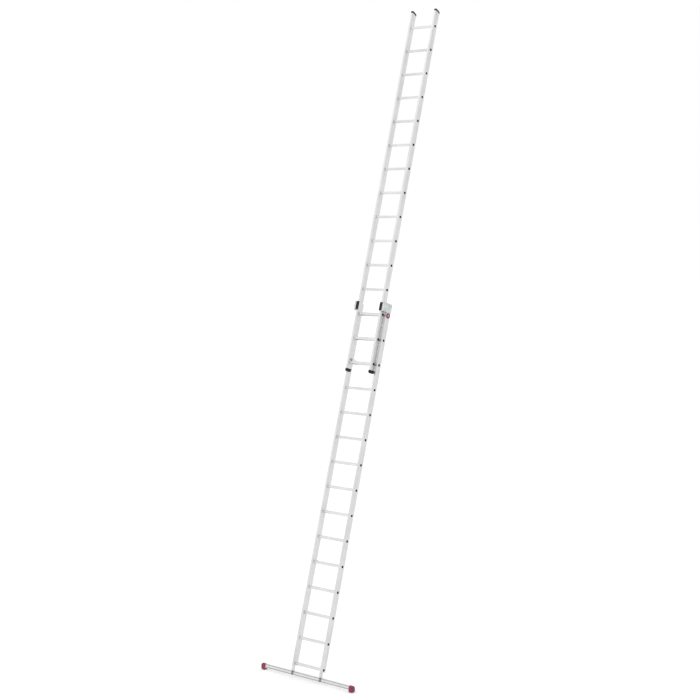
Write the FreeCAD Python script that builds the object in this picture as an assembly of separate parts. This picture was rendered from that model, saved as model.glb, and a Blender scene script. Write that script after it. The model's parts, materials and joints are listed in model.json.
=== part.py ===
import FreeCAD, Part
import math
import os

from FreeCAD import Matrix, Rotation, Vector

# Two-section push-up extension ladder of aluminium, 2 x 15 rungs, standing at its working lean.
#
# Everything is drawn in the ladder's own axes, in millimetres:
#   x  along the rungs, + to the right of a person who faces the ladder
#   n  through the ladder, + towards the wall that it leans on
#   r  up along the rails; n = r = 0 is the middle of the lowest rung
# lean() then tips each finished piece back to the working angle. The part's origin is the
# floor point midway between the soles of the two stabiliser end caps.

LEAN_DEG = 16.0            # rails from the vertical, a 74 degree slope
RUNGS = 15                 # rungs in each section
PITCH = 280.0              # rung spacing along the rails
RAISED = 12 * PITCH        # how far the upper section is pushed up

LOWER_HALF = 215.0         # half the lower section's outer width
UPPER_HALF = 180.0         # half the upper section's outer width, nested between the lower rails
UPPER_N = -56.0            # middle plane of the upper section, in front of the lower one

RAIL_X = 25.0              # rail box section, across the ladder
RAIL_N = 70.0              # rail box section, through the ladder
RAIL_WALL = 2.0
RAIL_CORNER = 3.0
LOWER_RAIL_R = (-25.0, 4035.0)
UPPER_RAIL_FOOT_R = RAISED - 91.0
UPPER_RAIL_TOP_R = RAISED + 4098.0    # front edge of the rail's sloped top end

RUNG_N = 30.0              # rung section, tread width
RUNG_R = 28.0              # rung section, height
RUNG_CORNER = 7.0
RUNG_WALL = 1.6
RIB_COUNT = 5              # anti-slip ribs along the tread
RIB_HEIGHT = 1.0
RIB_WIDTH = 1.8
RIB_GAP = 2.6
RIB_END = 35.0             # bare tread at each end of a rung
RIB_ROOT = 0.5             # how deep a rib is sunk into the tread
BEAD = 2.0                 # swaged bead that grips the rail from inside the ladder
BEAD_LENGTH = 4.0
FLARE = 1.6                # flared mouth on the rail's outer face
FLARE_LENGTH = 1.2

BAR_HALF = 656.0           # half the stabiliser bar's length
BAR_N = 28.0
BAR_R = 46.0
BAR_WALL = 2.4
BAR_MID_N = -2.0
BAR_MID_R = -107.0
GROOVE_DEPTH = 1.2
GROOVE_HALF = 2.5
GROOVE_OFFSET = 14.0       # grooves above and below the bar's middle line

CAP_X = (620.0, 668.0)     # stabiliser end cap, inner and outer end
CAP_DEPTH = 60.0           # level depth of the cap as it stands
CAP_ABOVE = 27.5           # its top above the bar's middle line
CAP_BELOW = 45.2           # its sole below the bar's middle line
CAP_TOP_CORNER = 22.0
CAP_SOLE_CORNER = 13.0
CAP_EDGE = 11.0            # rounding of the cap's outer end
TREAD_GROOVES = 4
TREAD_PITCH = 8.6
TREAD_WIDTH = 3.2
TREAD_DEPTH = 2.5

HOOK_X = (144.0, 150.0)    # swinging rung hook, across the ladder
HOOK_PIVOT = (-44.0, 36.0)  # n, and r above the rung that it stands on
HOOK_SEAT = 18.0           # underside of the hook above the middle of that rung
HOOK_BORE = 5.3
PIN_RADIUS = 5.0

GUIDE_R = (3954.0, 4054.0)  # guide bracket at the top of each lower rail
GUIDE_PLATE = 3.0
GUIDE_FRONT_N = -100.0
GUIDE_BACK_N = 38.0
GUIDE_LIP_X = 158.0
PAD_X = (153.0, 188.0)
PAD_N = (-105.0, -92.5)

BADGE_RADIUS = 31.0
LAST_RUNG_R = (RUNGS - 1) * PITCH

OVER = 1.0                 # how far a cut runs past the face that it starts from
SIDES = (("left", -1), ("right", 1))


def box(x, n, r):
    """A block between two values along each axis."""
    return Part.makeBox(x[1] - x[0], n[1] - n[0], r[1] - r[0], Vector(x[0], n[0], r[0]))


def rod_x(radius, x, n, r):
    """A round bar along x."""
    return Part.makeCylinder(radius, x[1] - x[0], Vector(x[0], n, r), Vector(1, 0, 0))


def rod_n(radius, n, x, r):
    """A round bar along n."""
    return Part.makeCylinder(radius, n[1] - n[0], Vector(x, n[0], r), Vector(0, 1, 0))


def fused(shapes):
    """Several overlapping or touching shapes as one solid."""
    return shapes[0].multiFuse(shapes[1:]).removeSplitter()


def group(shapes):
    """Separate solids kept together in one node."""
    return Part.makeCompound(shapes)


def rounded_wire(corners, radii):
    """A closed outline of straight lines with a tangent arc at each corner."""
    starts, middles, ends = [], [], []
    count = len(corners)
    for i, (corner, radius) in enumerate(zip(corners, radii)):
        back = (corners[i - 1] - corner).normalize()
        ahead = (corners[(i + 1) % count] - corner).normalize()
        half_turn = back.getAngle(ahead) / 2
        inward = (back + ahead).normalize()
        reach = radius / math.tan(half_turn)
        starts.append(corner + back * reach)
        middles.append(corner + inward * (radius / math.sin(half_turn) - radius))
        ends.append(corner + ahead * reach)
    edges = []
    for i in range(count):
        if radii[i]:
            edges.append(Part.Arc(starts[i], middles[i], ends[i]).toShape())
        following = starts[(i + 1) % count]
        if (following - ends[i]).Length > 1e-6:
            edges.append(Part.LineSegment(ends[i], following).toShape())
    return Part.Wire(edges)


def prism_x(outline, radii, x):
    """An outline of (n, r) corners with rounded corners, carried along x."""
    if not isinstance(radii, (list, tuple)):
        radii = [radii] * len(outline)
    wire = rounded_wire([Vector(x[0], n, r) for n, r in outline], radii)
    return Part.Face(wire).extrude(Vector(x[1] - x[0], 0, 0))


def rectangle(half_n, half_r, mid_n=0.0, mid_r=0.0):
    """The four (n, r) corners of a rectangle."""
    signs = ((-1, -1), (1, -1), (1, 1), (-1, 1))
    return [(mid_n + a * half_n, mid_r + b * half_r) for a, b in signs]


def turned_level(shape, n, r):
    """Turns a piece about its own middle so that it is level once the ladder leans."""
    return shape.rotated(Vector(0, n, r), Vector(1, 0, 0), LEAN_DEG)


def on_side(shape, side):
    """A piece drawn on the right-hand side, or its mirror image on the left."""
    if side > 0:
        return shape
    return shape.mirror(Vector(0, 0, 0), Vector(1, 0, 0))


def both_sides(shape):
    """A piece drawn on the right-hand side and its mirror image."""
    return [shape.copy(), on_side(shape, -1)]


# Rungs

def rung_outline(grow, x, n, r):
    """The rung's rounded section, larger by grow all round, with a level tread."""
    outline = rectangle(RUNG_N / 2 + grow, RUNG_R / 2 + grow, n, r)
    return turned_level(prism_x(outline, RUNG_CORNER + grow, x), n, r)


def rung(half, n, r):
    """A hollow rung swaged into both rails, open at its ends, with ribs on its tread."""
    end = half + FLARE_LENGTH
    inner = half - RAIL_X
    pieces = [rung_outline(0, (-end, end), n, r)]
    for x in ((inner - BEAD_LENGTH, inner), (-inner, BEAD_LENGTH - inner)):
        pieces.append(rung_outline(BEAD, x, n, r))
    for x in ((half, end), (-end, -half)):
        pieces.append(rung_outline(FLARE, x, n, r))
    rib_x = (RIB_END - inner, inner - RIB_END)
    top = r + RUNG_R / 2
    for i in range(RIB_COUNT):
        middle = n + (i - (RIB_COUNT - 1) / 2) * (RIB_WIDTH + RIB_GAP)
        rib = box(rib_x, (middle - RIB_WIDTH / 2, middle + RIB_WIDTH / 2), (top - RIB_ROOT, top + RIB_HEIGHT))
        pieces.append(turned_level(rib, n, r))
    return fused(pieces).cut(rung_outline(-RUNG_WALL, (-end, end), n, r))


# Rails

def rail_blank(half, n, r):
    """A hollow rounded box section, on the right-hand side."""
    x = (half - RAIL_X, half)
    corners = ((x[0], n - RAIL_N / 2), (x[1], n - RAIL_N / 2), (x[1], n + RAIL_N / 2), (x[0], n + RAIL_N / 2))
    inset = ((1, 1), (-1, 1), (-1, -1), (1, -1))
    outer = [Vector(a, b, r[0]) for a, b in corners]
    inner = [Vector(a + i * RAIL_WALL, b + j * RAIL_WALL, r[0]) for (a, b), (i, j) in zip(corners, inset)]
    rise = Vector(0, 0, r[1] - r[0])
    skin = Part.Face(rounded_wire(outer, [RAIL_CORNER] * 4)).extrude(rise)
    bore = Part.Face(rounded_wire(inner, [RAIL_CORNER - RAIL_WALL] * 4)).extrude(rise)
    return skin.cut(bore)


def rung_holes(half, n, first_r):
    """The rung section through both walls of the right-hand rail, at every rung."""
    x = (half - RAIL_X - OVER, half + OVER)
    return [rung_outline(0, x, n, first_r + i * PITCH) for i in range(RUNGS)]


def rivet_places():
    """Where the guide bracket's rivets go, as (n, r)."""
    return [(n, r) for n in (-RIVET_OFF_N, RIVET_OFF_N) for r in RIVET_R]


def lower_rail():
    """The lower section's right-hand rail."""
    cuts = rung_holes(LOWER_HALF, 0.0, 0.0)
    outer_wall = (LOWER_HALF - RAIL_WALL - OVER / 2, LOWER_HALF + OVER)
    for n, r in rivet_places():
        cuts.append(rod_x(RIVET_SHANK, outer_wall, n, r))
    cuts.append(rod_x(BOLT_RADIUS, outer_wall, *POST_BOLT))
    return rail_blank(LOWER_HALF, 0.0, LOWER_RAIL_R).cut(cuts)


def top_profile(drop):
    """Everything above the upper rail's sloped, slightly crowned end line, lowered by drop."""
    start = UPPER_HALF - RAIL_X - TOP_MARGIN
    front, back = UPPER_N - RAIL_N / 2 - TOP_MARGIN, UPPER_N + RAIL_N / 2 + TOP_MARGIN
    top = UPPER_RAIL_TOP_R - drop
    low_front, low_back = Vector(start, front, top), Vector(start, back, top - TOP_SLOPE)
    high_front, high_back = Vector(start, front, top + TOP_CLEAR), Vector(start, back, top + TOP_CLEAR)
    crown = Vector(start, UPPER_N, top - TOP_SLOPE * TOP_CROWN)
    edges = [Part.Arc(low_front, crown, low_back).toShape()]
    for a, b in ((low_back, high_back), (high_back, high_front), (high_front, low_front)):
        edges.append(Part.LineSegment(a, b).toShape())
    return Part.Face(Part.Wire(edges)).extrude(Vector(RAIL_X + 2 * TOP_MARGIN, 0, 0))


def upper_rail():
    """The upper section's right-hand rail, with its sloped top end."""
    cuts = rung_holes(UPPER_HALF, UPPER_N, RAISED)
    both_walls = (UPPER_HALF - RAIL_X - OVER, UPPER_HALF + OVER)
    cuts.append(rod_x(PIN_RADIUS, both_walls, HOOK_PIVOT[0], RAISED + HOOK_PIVOT[1]))
    cuts.append(top_profile(0))
    return rail_blank(UPPER_HALF, UPPER_N, (UPPER_RAIL_FOOT_R, UPPER_RAIL_TOP_R + OVER)).cut(cuts)


# Rail ends

TOP_SLOPE = 22.0           # fall of the rail's top end from front to back
TOP_CROWN = 0.3            # share of that fall reached halfway back
TOP_MARGIN = 5.0           # how far the end line runs past the rail
TOP_CLEAR = 200.0          # height cut away above the end line
TOP_CAP = 22.0             # cap above the rail's end
TOP_CAP_PROUD = 2.0        # how far the cap and the foot stand out from the rail
TOP_CAP_EDGE = 2.0
TOP_PLUG = 22.0
FOOT_PROUD = 2.5
FOOT_SOLE = 17.0
FOOT_ROUND = 13.0          # rounding of the foot's front and back
FOOT_SLEEVE = 18.0
FOOT_GROOVES = 5
FOOT_GROOVE_PITCH = 10.0
FOOT_GROOVE = (3.0, 2.0)   # width and depth
PLUG_PLATE = 3.0
PLUG_DEPTH = 16.0


def rail_block(half, n, grow, r):
    """A block as large as the right-hand rail's outside, larger by grow."""
    x = (half - RAIL_X - grow, half + grow)
    return box(x, (n - RAIL_N / 2 - grow, n + RAIL_N / 2 + grow), r)


def rail_plug(half, n, r):
    """A block that fits the right-hand rail's bore."""
    return rail_block(half, n, -RAIL_WALL, r)


def top_cap():
    """The plastic cap on top of an upper rail, following its sloped end."""
    reach = (UPPER_RAIL_TOP_R - TOP_SLOPE - TOP_PLUG, UPPER_RAIL_TOP_R + TOP_CAP + OVER)
    lid = rail_block(UPPER_HALF, UPPER_N, TOP_CAP_PROUD, reach)
    lid = lid.common(top_profile(0)).cut(top_profile(-TOP_CAP))
    lowest = UPPER_RAIL_TOP_R - TOP_SLOPE + TOP_CAP / 2
    lid = lid.makeFillet(TOP_CAP_EDGE, [e for e in lid.Edges if e.BoundBox.ZMin > lowest])
    plug = rail_plug(UPPER_HALF, UPPER_N, reach)
    plug = plug.makeFillet(RAIL_CORNER - RAIL_WALL, [e for e in plug.Edges if e.BoundBox.ZLength > TOP_PLUG])
    return fused([lid, plug.cut(top_profile(0))])


def upper_foot():
    """The plastic shoe under an upper rail."""
    r = (UPPER_RAIL_FOOT_R - FOOT_SOLE, UPPER_RAIL_FOOT_R + FOOT_SLEEVE)
    shoe = rail_block(UPPER_HALF, UPPER_N, FOOT_PROUD, r)
    sole = [e for e in shoe.Edges if e.BoundBox.ZMax < r[0] + 1 and e.BoundBox.XLength > 1]
    shoe = shoe.makeFillet(FOOT_ROUND, sole)
    sleeve = (UPPER_RAIL_FOOT_R, r[1] + OVER)
    socket = rail_blank(UPPER_HALF, UPPER_N, sleeve).fuse(rail_plug(UPPER_HALF, UPPER_N, sleeve))
    width, depth = FOOT_GROOVE
    x = (UPPER_HALF - RAIL_X - FOOT_PROUD - OVER, UPPER_HALF + FOOT_PROUD + OVER)
    cuts = [socket]
    for i in range(FOOT_GROOVES):
        n = UPPER_N + (i - (FOOT_GROOVES - 1) / 2) * FOOT_GROOVE_PITCH
        cuts.append(box(x, (n - width / 2, n + width / 2), (r[0] - OVER, r[0] + depth)))
    return shoe.cut(cuts)


def lower_plug():
    """The plug that closes the top of a lower rail."""
    top = LOWER_RAIL_R[1]
    plate = rail_block(LOWER_HALF, 0.0, 0.0, (top, top + PLUG_PLATE))
    plug = rail_plug(LOWER_HALF, 0.0, (top - PLUG_DEPTH, top))
    plug = plug.makeFillet(RAIL_CORNER - RAIL_WALL, [e for e in plug.Edges if e.BoundBox.ZLength > 1])
    return fused([plate, plug])


# Stabiliser bar

POST_GAP = 0.4             # looseness of the bracket's tongue in the rail
POST_X = (LOWER_HALF - RAIL_X + RAIL_WALL + POST_GAP, LOWER_HALF - RAIL_WALL - POST_GAP)
POST_N = (RAIL_WALL + POST_GAP - RAIL_N / 2, 0.0)
POST_TONGUE_N = -18.6      # back of the tongue that runs up inside the rail past the rung
POST_TONGUE_R = 62.0
POST_BOLT = (-26.0, 40.0)   # n, r
POST_BOLT_GRIP = 4.0       # tongue left beyond the end of that bolt
BUTTON_HEAD = 3.5
BUTTON_ROUND = 2.5
BUTTON_SOCKET = (2.2, 2.0)  # radius and depth
SADDLE_X = (LOWER_HALF - RAIL_X - 0.5, LOWER_HALF + 0.5)
SADDLE_WALL = 3.0
SADDLE_DROP = 44.0
COVER_THICK = 5.0
COVER_EDGE = 2.5
COVER_HOLE = 1.0           # room round the bolt head
BOLT_RADIUS = 4.0
HEAD_RADIUS = 6.5
HEAD_LENGTH = 5.0
NUT_LENGTH = 6.5
BOLT_END = 2.0             # thread beyond the nut
BAR_CORNER = 3.0

BAR_FRONT = BAR_MID_N - BAR_N / 2
BAR_BACK = BAR_MID_N + BAR_N / 2
BAR_TOP = BAR_MID_R + BAR_R / 2
POST_MID = (POST_X[0] + POST_X[1]) / 2


def stabiliser_bar():
    """The hollow cross bar, with two grooves along its front and back faces."""
    x = (-BAR_HALF, BAR_HALF)
    bar = prism_x(rectangle(BAR_N / 2, BAR_R / 2, BAR_MID_N, BAR_MID_R), BAR_CORNER, x)
    inside = rectangle(BAR_N / 2 - BAR_WALL, BAR_R / 2 - BAR_WALL, BAR_MID_N, BAR_MID_R)
    cuts = [prism_x(inside, BAR_CORNER / 2, x)]
    for level in (-GROOVE_OFFSET, GROOVE_OFFSET):
        r = (BAR_MID_R + level - GROOVE_HALF, BAR_MID_R + level + GROOVE_HALF)
        cuts.append(box(x, (BAR_FRONT - OVER, BAR_FRONT + GROOVE_DEPTH), r))
        cuts.append(box(x, (BAR_BACK - GROOVE_DEPTH, BAR_BACK + OVER), r))
    for side in (-1, 1):
        cuts.append(rod_n(BOLT_RADIUS, (BAR_FRONT - OVER, BAR_BACK + OVER), side * POST_MID, BAR_MID_R))
    return bar.cut(cuts)


def bar_bracket():
    """The bracket that joins a lower rail to the bar: tongue, post and saddle in one casting."""
    web = (BAR_TOP, BAR_TOP + SADDLE_WALL)
    leg_r = (BAR_TOP - SADDLE_DROP, web[1])
    bracket = fused([
        box(POST_X, (POST_N[0], POST_TONGUE_N), (LOWER_RAIL_R[0], POST_TONGUE_R)),
        box(POST_X, POST_N, (web[1], LOWER_RAIL_R[0])),
        box(SADDLE_X, (POST_N[0], BAR_BACK + SADDLE_WALL), web),
        box(SADDLE_X, (BAR_FRONT - SADDLE_WALL, BAR_FRONT), leg_r),
        box(SADDLE_X, (BAR_BACK, BAR_BACK + SADDLE_WALL), leg_r),
    ])
    legs = (BAR_FRONT - SADDLE_WALL - OVER, BAR_BACK + SADDLE_WALL + OVER)
    return bracket.cut([
        rod_n(BOLT_RADIUS, legs, POST_MID, BAR_MID_R),
        rod_x(BOLT_RADIUS, (POST_X[0] + POST_BOLT_GRIP, POST_X[1] + OVER), *POST_BOLT),
    ])


def bar_bracket_cover():
    """The plastic cover on the front of a bar bracket."""
    n = (BAR_FRONT - SADDLE_WALL - COVER_THICK, BAR_FRONT - SADDLE_WALL)
    cover = box(SADDLE_X, n, (BAR_TOP - SADDLE_DROP, BAR_TOP))
    cover = cover.makeFillet(COVER_EDGE, [e for e in cover.Edges if e.BoundBox.YMax < n[0] + 1])
    return cover.cut(rod_n(HEAD_RADIUS + COVER_HOLE, (n[0] - OVER, n[1] + OVER), POST_MID, BAR_MID_R))


def hexagon_n(radius, n, x, r):
    """A hexagonal head or nut along n."""
    angles = [math.radians(60 * i) for i in range(7)]
    ring = [Vector(x + radius * math.cos(a), n[0], r + radius * math.sin(a)) for a in angles]
    return Part.Face(Part.makePolygon(ring)).extrude(Vector(0, n[1] - n[0], 0))


def saddle_bolt():
    """The bolt through a saddle and the bar."""
    seat = BAR_FRONT - SADDLE_WALL
    shank = rod_n(BOLT_RADIUS, (seat, BAR_BACK + SADDLE_WALL + NUT_LENGTH + BOLT_END), POST_MID, BAR_MID_R)
    return fused([shank, hexagon_n(HEAD_RADIUS, (seat - HEAD_LENGTH, seat), POST_MID, BAR_MID_R)])


def post_bolt():
    """The button-head bolt through a rail's outer wall into the bracket's tongue."""
    n, r = POST_BOLT
    top = LOWER_HALF + BUTTON_HEAD
    head = rod_x(HEAD_RADIUS, (LOWER_HALF, top), n, r)
    head = head.makeFillet(BUTTON_ROUND, [e for e in head.Edges if e.BoundBox.XMin > top - 0.1])
    radius, depth = BUTTON_SOCKET
    socket = rod_x(radius, (top - depth, top + OVER), n, r)
    return fused([rod_x(BOLT_RADIUS, (POST_X[0] + POST_BOLT_GRIP, LOWER_HALF), n, r), head]).cut(socket)


def saddle_nut():
    """The nut behind a saddle."""
    start = BAR_BACK + SADDLE_WALL
    nut = hexagon_n(HEAD_RADIUS, (start, start + NUT_LENGTH), POST_MID, BAR_MID_R)
    return nut.cut(rod_n(BOLT_RADIUS, (start - OVER, start + NUT_LENGTH + OVER), POST_MID, BAR_MID_R))


def end_cap():
    """The red rounded end cap: level sole with tread grooves, and a pocket for the bar."""
    half_height = (CAP_ABOVE + CAP_BELOW) / 2
    sole = BAR_MID_R - CAP_BELOW
    outline = rectangle(CAP_DEPTH / 2, half_height, BAR_MID_N, sole + half_height)
    radii = [CAP_SOLE_CORNER, CAP_SOLE_CORNER, CAP_TOP_CORNER, CAP_TOP_CORNER]
    cap = prism_x(outline, radii, CAP_X)
    cap = cap.makeFillet(CAP_EDGE, [e for e in cap.Edges if e.BoundBox.XMin > CAP_X[1] - 0.1])
    x = (CAP_X[0] - OVER, CAP_X[1] + OVER)
    grooves = []
    for i in range(TREAD_GROOVES):
        n = BAR_MID_N + (i - (TREAD_GROOVES - 1) / 2) * TREAD_PITCH
        grooves.append(box(x, (n - TREAD_WIDTH / 2, n + TREAD_WIDTH / 2), (sole - OVER, sole + TREAD_DEPTH)))
    cap = turned_level(cap.cut(grooves), BAR_MID_N, BAR_MID_R)
    bar_section = rectangle(BAR_N / 2, BAR_R / 2, BAR_MID_N, BAR_MID_R)
    return cap.cut(prism_x(bar_section, BAR_CORNER, (x[0], BAR_HALF)))


# Guides at the top of the lower section

RIVET_SHANK = 2.4
RIVET_HEAD = 5.5
RIVET_TALL = 2.2
RIVET_DOME = 0.8           # rounding of the head, as a share of its height
RIVET_OFF_N = 22.0         # rivets in front of and behind the rail's middle plane
RIVET_R = (GUIDE_R[0] + 19.0, GUIDE_R[1] - 44.0)
GUIDE_BEND = 5.0           # inner radius of the bend
GUIDE_CORNER = 10.0        # round corners of the plate's back edge
PAD_EDGE = 3.0
PAD_SHORT = (5.0, 3.0)     # how much shorter the glide is than the lip, below and above
BADGE_RIM = 3.0
BADGE_THICK = 2.8
BADGE_EDGE = 1.5


def long_edges(shape, x, n):
    """The edges of a shape that run up the ladder at one x and n."""
    near = [e for e in shape.Edges if abs(e.BoundBox.XMin - x) < 0.01 and abs(e.BoundBox.YMin - n) < 0.01]
    return [e for e in near if e.BoundBox.ZLength > 50 and e.BoundBox.XLength < 1]


def guide_bracket():
    """A bent plate on a lower rail that reaches round the front of the upper rail."""
    x = (LOWER_HALF, LOWER_HALF + GUIDE_PLATE)
    blank = fused([
        box(x, (GUIDE_FRONT_N, GUIDE_BACK_N), GUIDE_R),
        box((GUIDE_LIP_X, x[1]), (GUIDE_FRONT_N, GUIDE_FRONT_N + GUIDE_PLATE), GUIDE_R),
    ])
    blank = blank.makeFillet(GUIDE_BEND, long_edges(blank, x[0], GUIDE_FRONT_N + GUIDE_PLATE))
    blank = blank.makeFillet(GUIDE_BEND + GUIDE_PLATE, long_edges(blank, x[1], GUIDE_FRONT_N))
    back = [e for e in blank.Edges if e.BoundBox.YMin > GUIDE_BACK_N - 1 and e.BoundBox.ZLength < 1]
    blank = blank.makeFillet(GUIDE_CORNER, back)
    holes = [rod_x(RIVET_SHANK, (x[0] - OVER, x[1] + OVER), n, r) for n, r in rivet_places()]
    return blank.cut(holes)


def guide_pad():
    """The plastic glide that sleeves the bracket's front lip."""
    r = (GUIDE_R[0] + PAD_SHORT[0], GUIDE_R[1] - PAD_SHORT[1])
    pad = box(PAD_X, PAD_N, r)
    pad = pad.makeFillet(PAD_EDGE, pad.Edges)
    lip_n = (GUIDE_FRONT_N, GUIDE_FRONT_N + GUIDE_PLATE)
    return pad.cut(box((GUIDE_LIP_X, PAD_X[1] + OVER), lip_n, (r[0] - OVER, r[1] + OVER)))


def guide_rivet(n, r):
    """A blind rivet with a domed head."""
    face = LOWER_HALF + GUIDE_PLATE
    head = rod_x(RIVET_HEAD, (face, face + RIVET_TALL), n, r)
    head = head.makeFillet(RIVET_TALL * RIVET_DOME, [e for e in head.Edges if e.BoundBox.XMin > face + 1])
    return fused([rod_x(RIVET_SHANK, (LOWER_HALF - RAIL_WALL, face), n, r), head])


def badge():
    """The round badge that covers the end of the lower section's top rung."""
    inside = LOWER_HALF + FLARE_LENGTH
    disc = rod_x(BADGE_RADIUS, (LOWER_HALF, inside + BADGE_THICK), 0.0, LAST_RUNG_R)
    disc = disc.makeFillet(BADGE_EDGE, [e for e in disc.Edges if e.BoundBox.XMin > inside + 1])
    return disc.cut(rod_x(BADGE_RADIUS - BADGE_RIM, (LOWER_HALF - OVER, inside), 0.0, LAST_RUNG_R))


# Rung hooks at the foot of the upper section

HOOK_HUB = 13.0
HOOK_REAR = 18.0           # inner face of the claw, behind the rung
HOOK_TIP = 28.0            # outer face of the claw
HOOK_CLAW = (-3.0, -9.0)   # where the claw's outer face ends, and its point, above the rung's middle
COLLAR_RADIUS = 8.5
PIN_HEAD_RADIUS = 8.0
PIN_HEAD = 1.5
PIN_END_X = 136.0
HOOK_PLAY = 0.4            # gap between a hook and the collar beside it
SPRING_WIRE = 0.9
SPRING_RADIUS = 7.2
SPRING_TURNS = 3
SPRING_PITCH = 1.53
SPRING_GAP = 1.6           # from the hook to the middle of the first turn
SPRING_LEG = 16.0
SPRING_LEG_RADIUS = 0.85


def hook():
    """The swinging claw that stands on a rung of the lower section."""
    n0, r0 = HOOK_PIVOT
    claw, point = HOOK_CLAW
    # n, r above the rung's middle, and the corner's radius
    outline = [
        (n0, r0 + HOOK_HUB, 0), (HOOK_REAR - 8, r0 + 8, 12), (HOOK_TIP, r0 - 8, 8), (HOOK_TIP, claw, 3),
        (HOOK_REAR + 4, point, 2), (HOOK_REAR, claw, 1), (HOOK_REAR, HOOK_SEAT, 4), (n0 / 2, HOOK_SEAT, 5),
        (n0, r0 - HOOK_HUB, 0),
    ]
    arm = prism_x([(n, RAISED + r) for n, r, _ in outline], [radius for _, _, radius in outline], HOOK_X)
    hub = rod_x(HOOK_HUB, HOOK_X, n0, RAISED + r0)
    return fused([arm, hub]).cut(rod_x(HOOK_BORE, (HOOK_X[0] - OVER, HOOK_X[1] + OVER), n0, RAISED + r0))


def hook_pin():
    """The pin through an upper rail that carries a hook, with a collar and two heads."""
    n, r = HOOK_PIVOT[0], RAISED + HOOK_PIVOT[1]
    inner = UPPER_HALF - RAIL_X
    return fused([
        rod_x(PIN_RADIUS, (PIN_END_X, UPPER_HALF), n, r),
        rod_x(PIN_HEAD_RADIUS, (UPPER_HALF, UPPER_HALF + PIN_HEAD), n, r),
        rod_x(COLLAR_RADIUS, (HOOK_X[1] + HOOK_PLAY, inner), n, r),
        rod_x(PIN_HEAD_RADIUS, (PIN_END_X, PIN_END_X + PIN_HEAD), n, r),
    ])


def hook_spring():
    """The torsion spring beside a hook: close turns and a straight leg."""
    n, r = HOOK_PIVOT[0], RAISED + HOOK_PIVOT[1]
    turns = []
    for i in range(SPRING_TURNS):
        x = HOOK_X[0] - SPRING_GAP - SPRING_PITCH * i
        turns.append(Part.makeTorus(SPRING_RADIUS, SPRING_WIRE, Vector(x, n, r), Vector(1, 0, 0)))
    foot = Vector(x, n - SPRING_RADIUS, r)
    leg = Part.makeCylinder(SPRING_LEG_RADIUS, SPRING_LEG, foot, Vector(0, 0, 1))
    return turns[0].multiFuse(turns[1:] + [leg])


# Placing

def lean():
    """The move from the ladder's own axes to the part's frame."""
    tip = Rotation(Vector(1, 0, 0), -LEAN_DEG)
    middle = tip.multVec(Vector(0, BAR_MID_N, BAR_MID_R))
    move = Matrix()
    move.move(Vector(0, -middle.y, CAP_BELOW - middle.z))
    return move.multiply(FreeCAD.Placement(Vector(), tip).toMatrix())


def nodes():
    """Every node's name and its shape in the ladder's own axes."""
    made = {}
    for i in range(RUNGS):
        made[f"lower_rung_{i + 1:02d}"] = rung(LOWER_HALF, 0.0, i * PITCH)
        made[f"upper_rung_{i + 1:02d}"] = rung(UPPER_HALF, UPPER_N, RAISED + i * PITCH)
    pairs = {
        "lower_rail": lower_rail(), "upper_rail": upper_rail(), "bar_end_cap": end_cap(),
        "bar_bracket": bar_bracket(), "bar_bracket_cover": bar_bracket_cover(),
        "guide_bracket": guide_bracket(), "guide_pad": guide_pad(), "badge": badge(),
        "top_cap": top_cap(), "upper_foot": upper_foot(), "rung_hook": hook(),
    }
    for name, shape in pairs.items():
        for word, side in SIDES:
            made[f"{name}_{word}"] = on_side(shape, side)
    made["stabiliser_bar"] = stabiliser_bar()
    made["bar_bolts"] = group(both_sides(saddle_bolt()) + both_sides(post_bolt()))
    made["bar_nuts"] = group(both_sides(saddle_nut()))
    rivets = [guide_rivet(n, r) for n, r in rivet_places()]
    made["guide_rivets"] = group([copy for rivet in rivets for copy in both_sides(rivet)])
    made["lower_rail_plugs"] = group(both_sides(lower_plug()))
    made["hook_pins"] = group(both_sides(hook_pin()))
    made["hook_springs"] = group(both_sides(hook_spring()))
    return made


os.makedirs("parts", exist_ok=True)
place = lean()
for node, shape in nodes().items():
    shape.transformed(place, copy=True).exportStep(f"parts/{node}.step")
    print(node, len(shape.Solids), "solids", round(shape.Volume / 1000, 1), "cm3", shape.isValid())
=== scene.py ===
import json
import math

import bpy
import numpy as np
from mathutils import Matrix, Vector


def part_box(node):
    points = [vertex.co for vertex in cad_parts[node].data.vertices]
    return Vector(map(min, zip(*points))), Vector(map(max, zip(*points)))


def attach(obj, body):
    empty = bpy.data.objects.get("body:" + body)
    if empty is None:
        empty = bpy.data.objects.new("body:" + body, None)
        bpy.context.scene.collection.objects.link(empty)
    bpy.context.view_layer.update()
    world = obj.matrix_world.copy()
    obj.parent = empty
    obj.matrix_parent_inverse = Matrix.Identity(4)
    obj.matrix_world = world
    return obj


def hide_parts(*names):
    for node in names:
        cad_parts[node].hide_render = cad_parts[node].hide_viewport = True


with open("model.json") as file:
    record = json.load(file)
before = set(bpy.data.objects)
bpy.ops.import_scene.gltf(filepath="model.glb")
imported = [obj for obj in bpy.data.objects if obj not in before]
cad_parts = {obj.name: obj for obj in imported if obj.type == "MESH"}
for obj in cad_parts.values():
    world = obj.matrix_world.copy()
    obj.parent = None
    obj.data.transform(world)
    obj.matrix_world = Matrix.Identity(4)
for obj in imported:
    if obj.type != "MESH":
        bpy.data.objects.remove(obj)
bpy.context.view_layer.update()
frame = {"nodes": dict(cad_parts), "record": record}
print("frame loaded:", len(frame["nodes"]), "nodes")

rungLook = {
    "halfDepth": 0.015, "halfHeight": 0.014, "corner": 0.007,    # the rung's level section
    "ribHeight": 0.001,                                          # ribs on the tread
    "insideShadeFrom": 0.0007, "insideShadeTo": 0.0013,                        # how deep the painted shade inside begins
    "rubbedFrom": 0.0138, "rubbedTo": 0.0149, "rubbedShare": 0.6,
}

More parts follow.
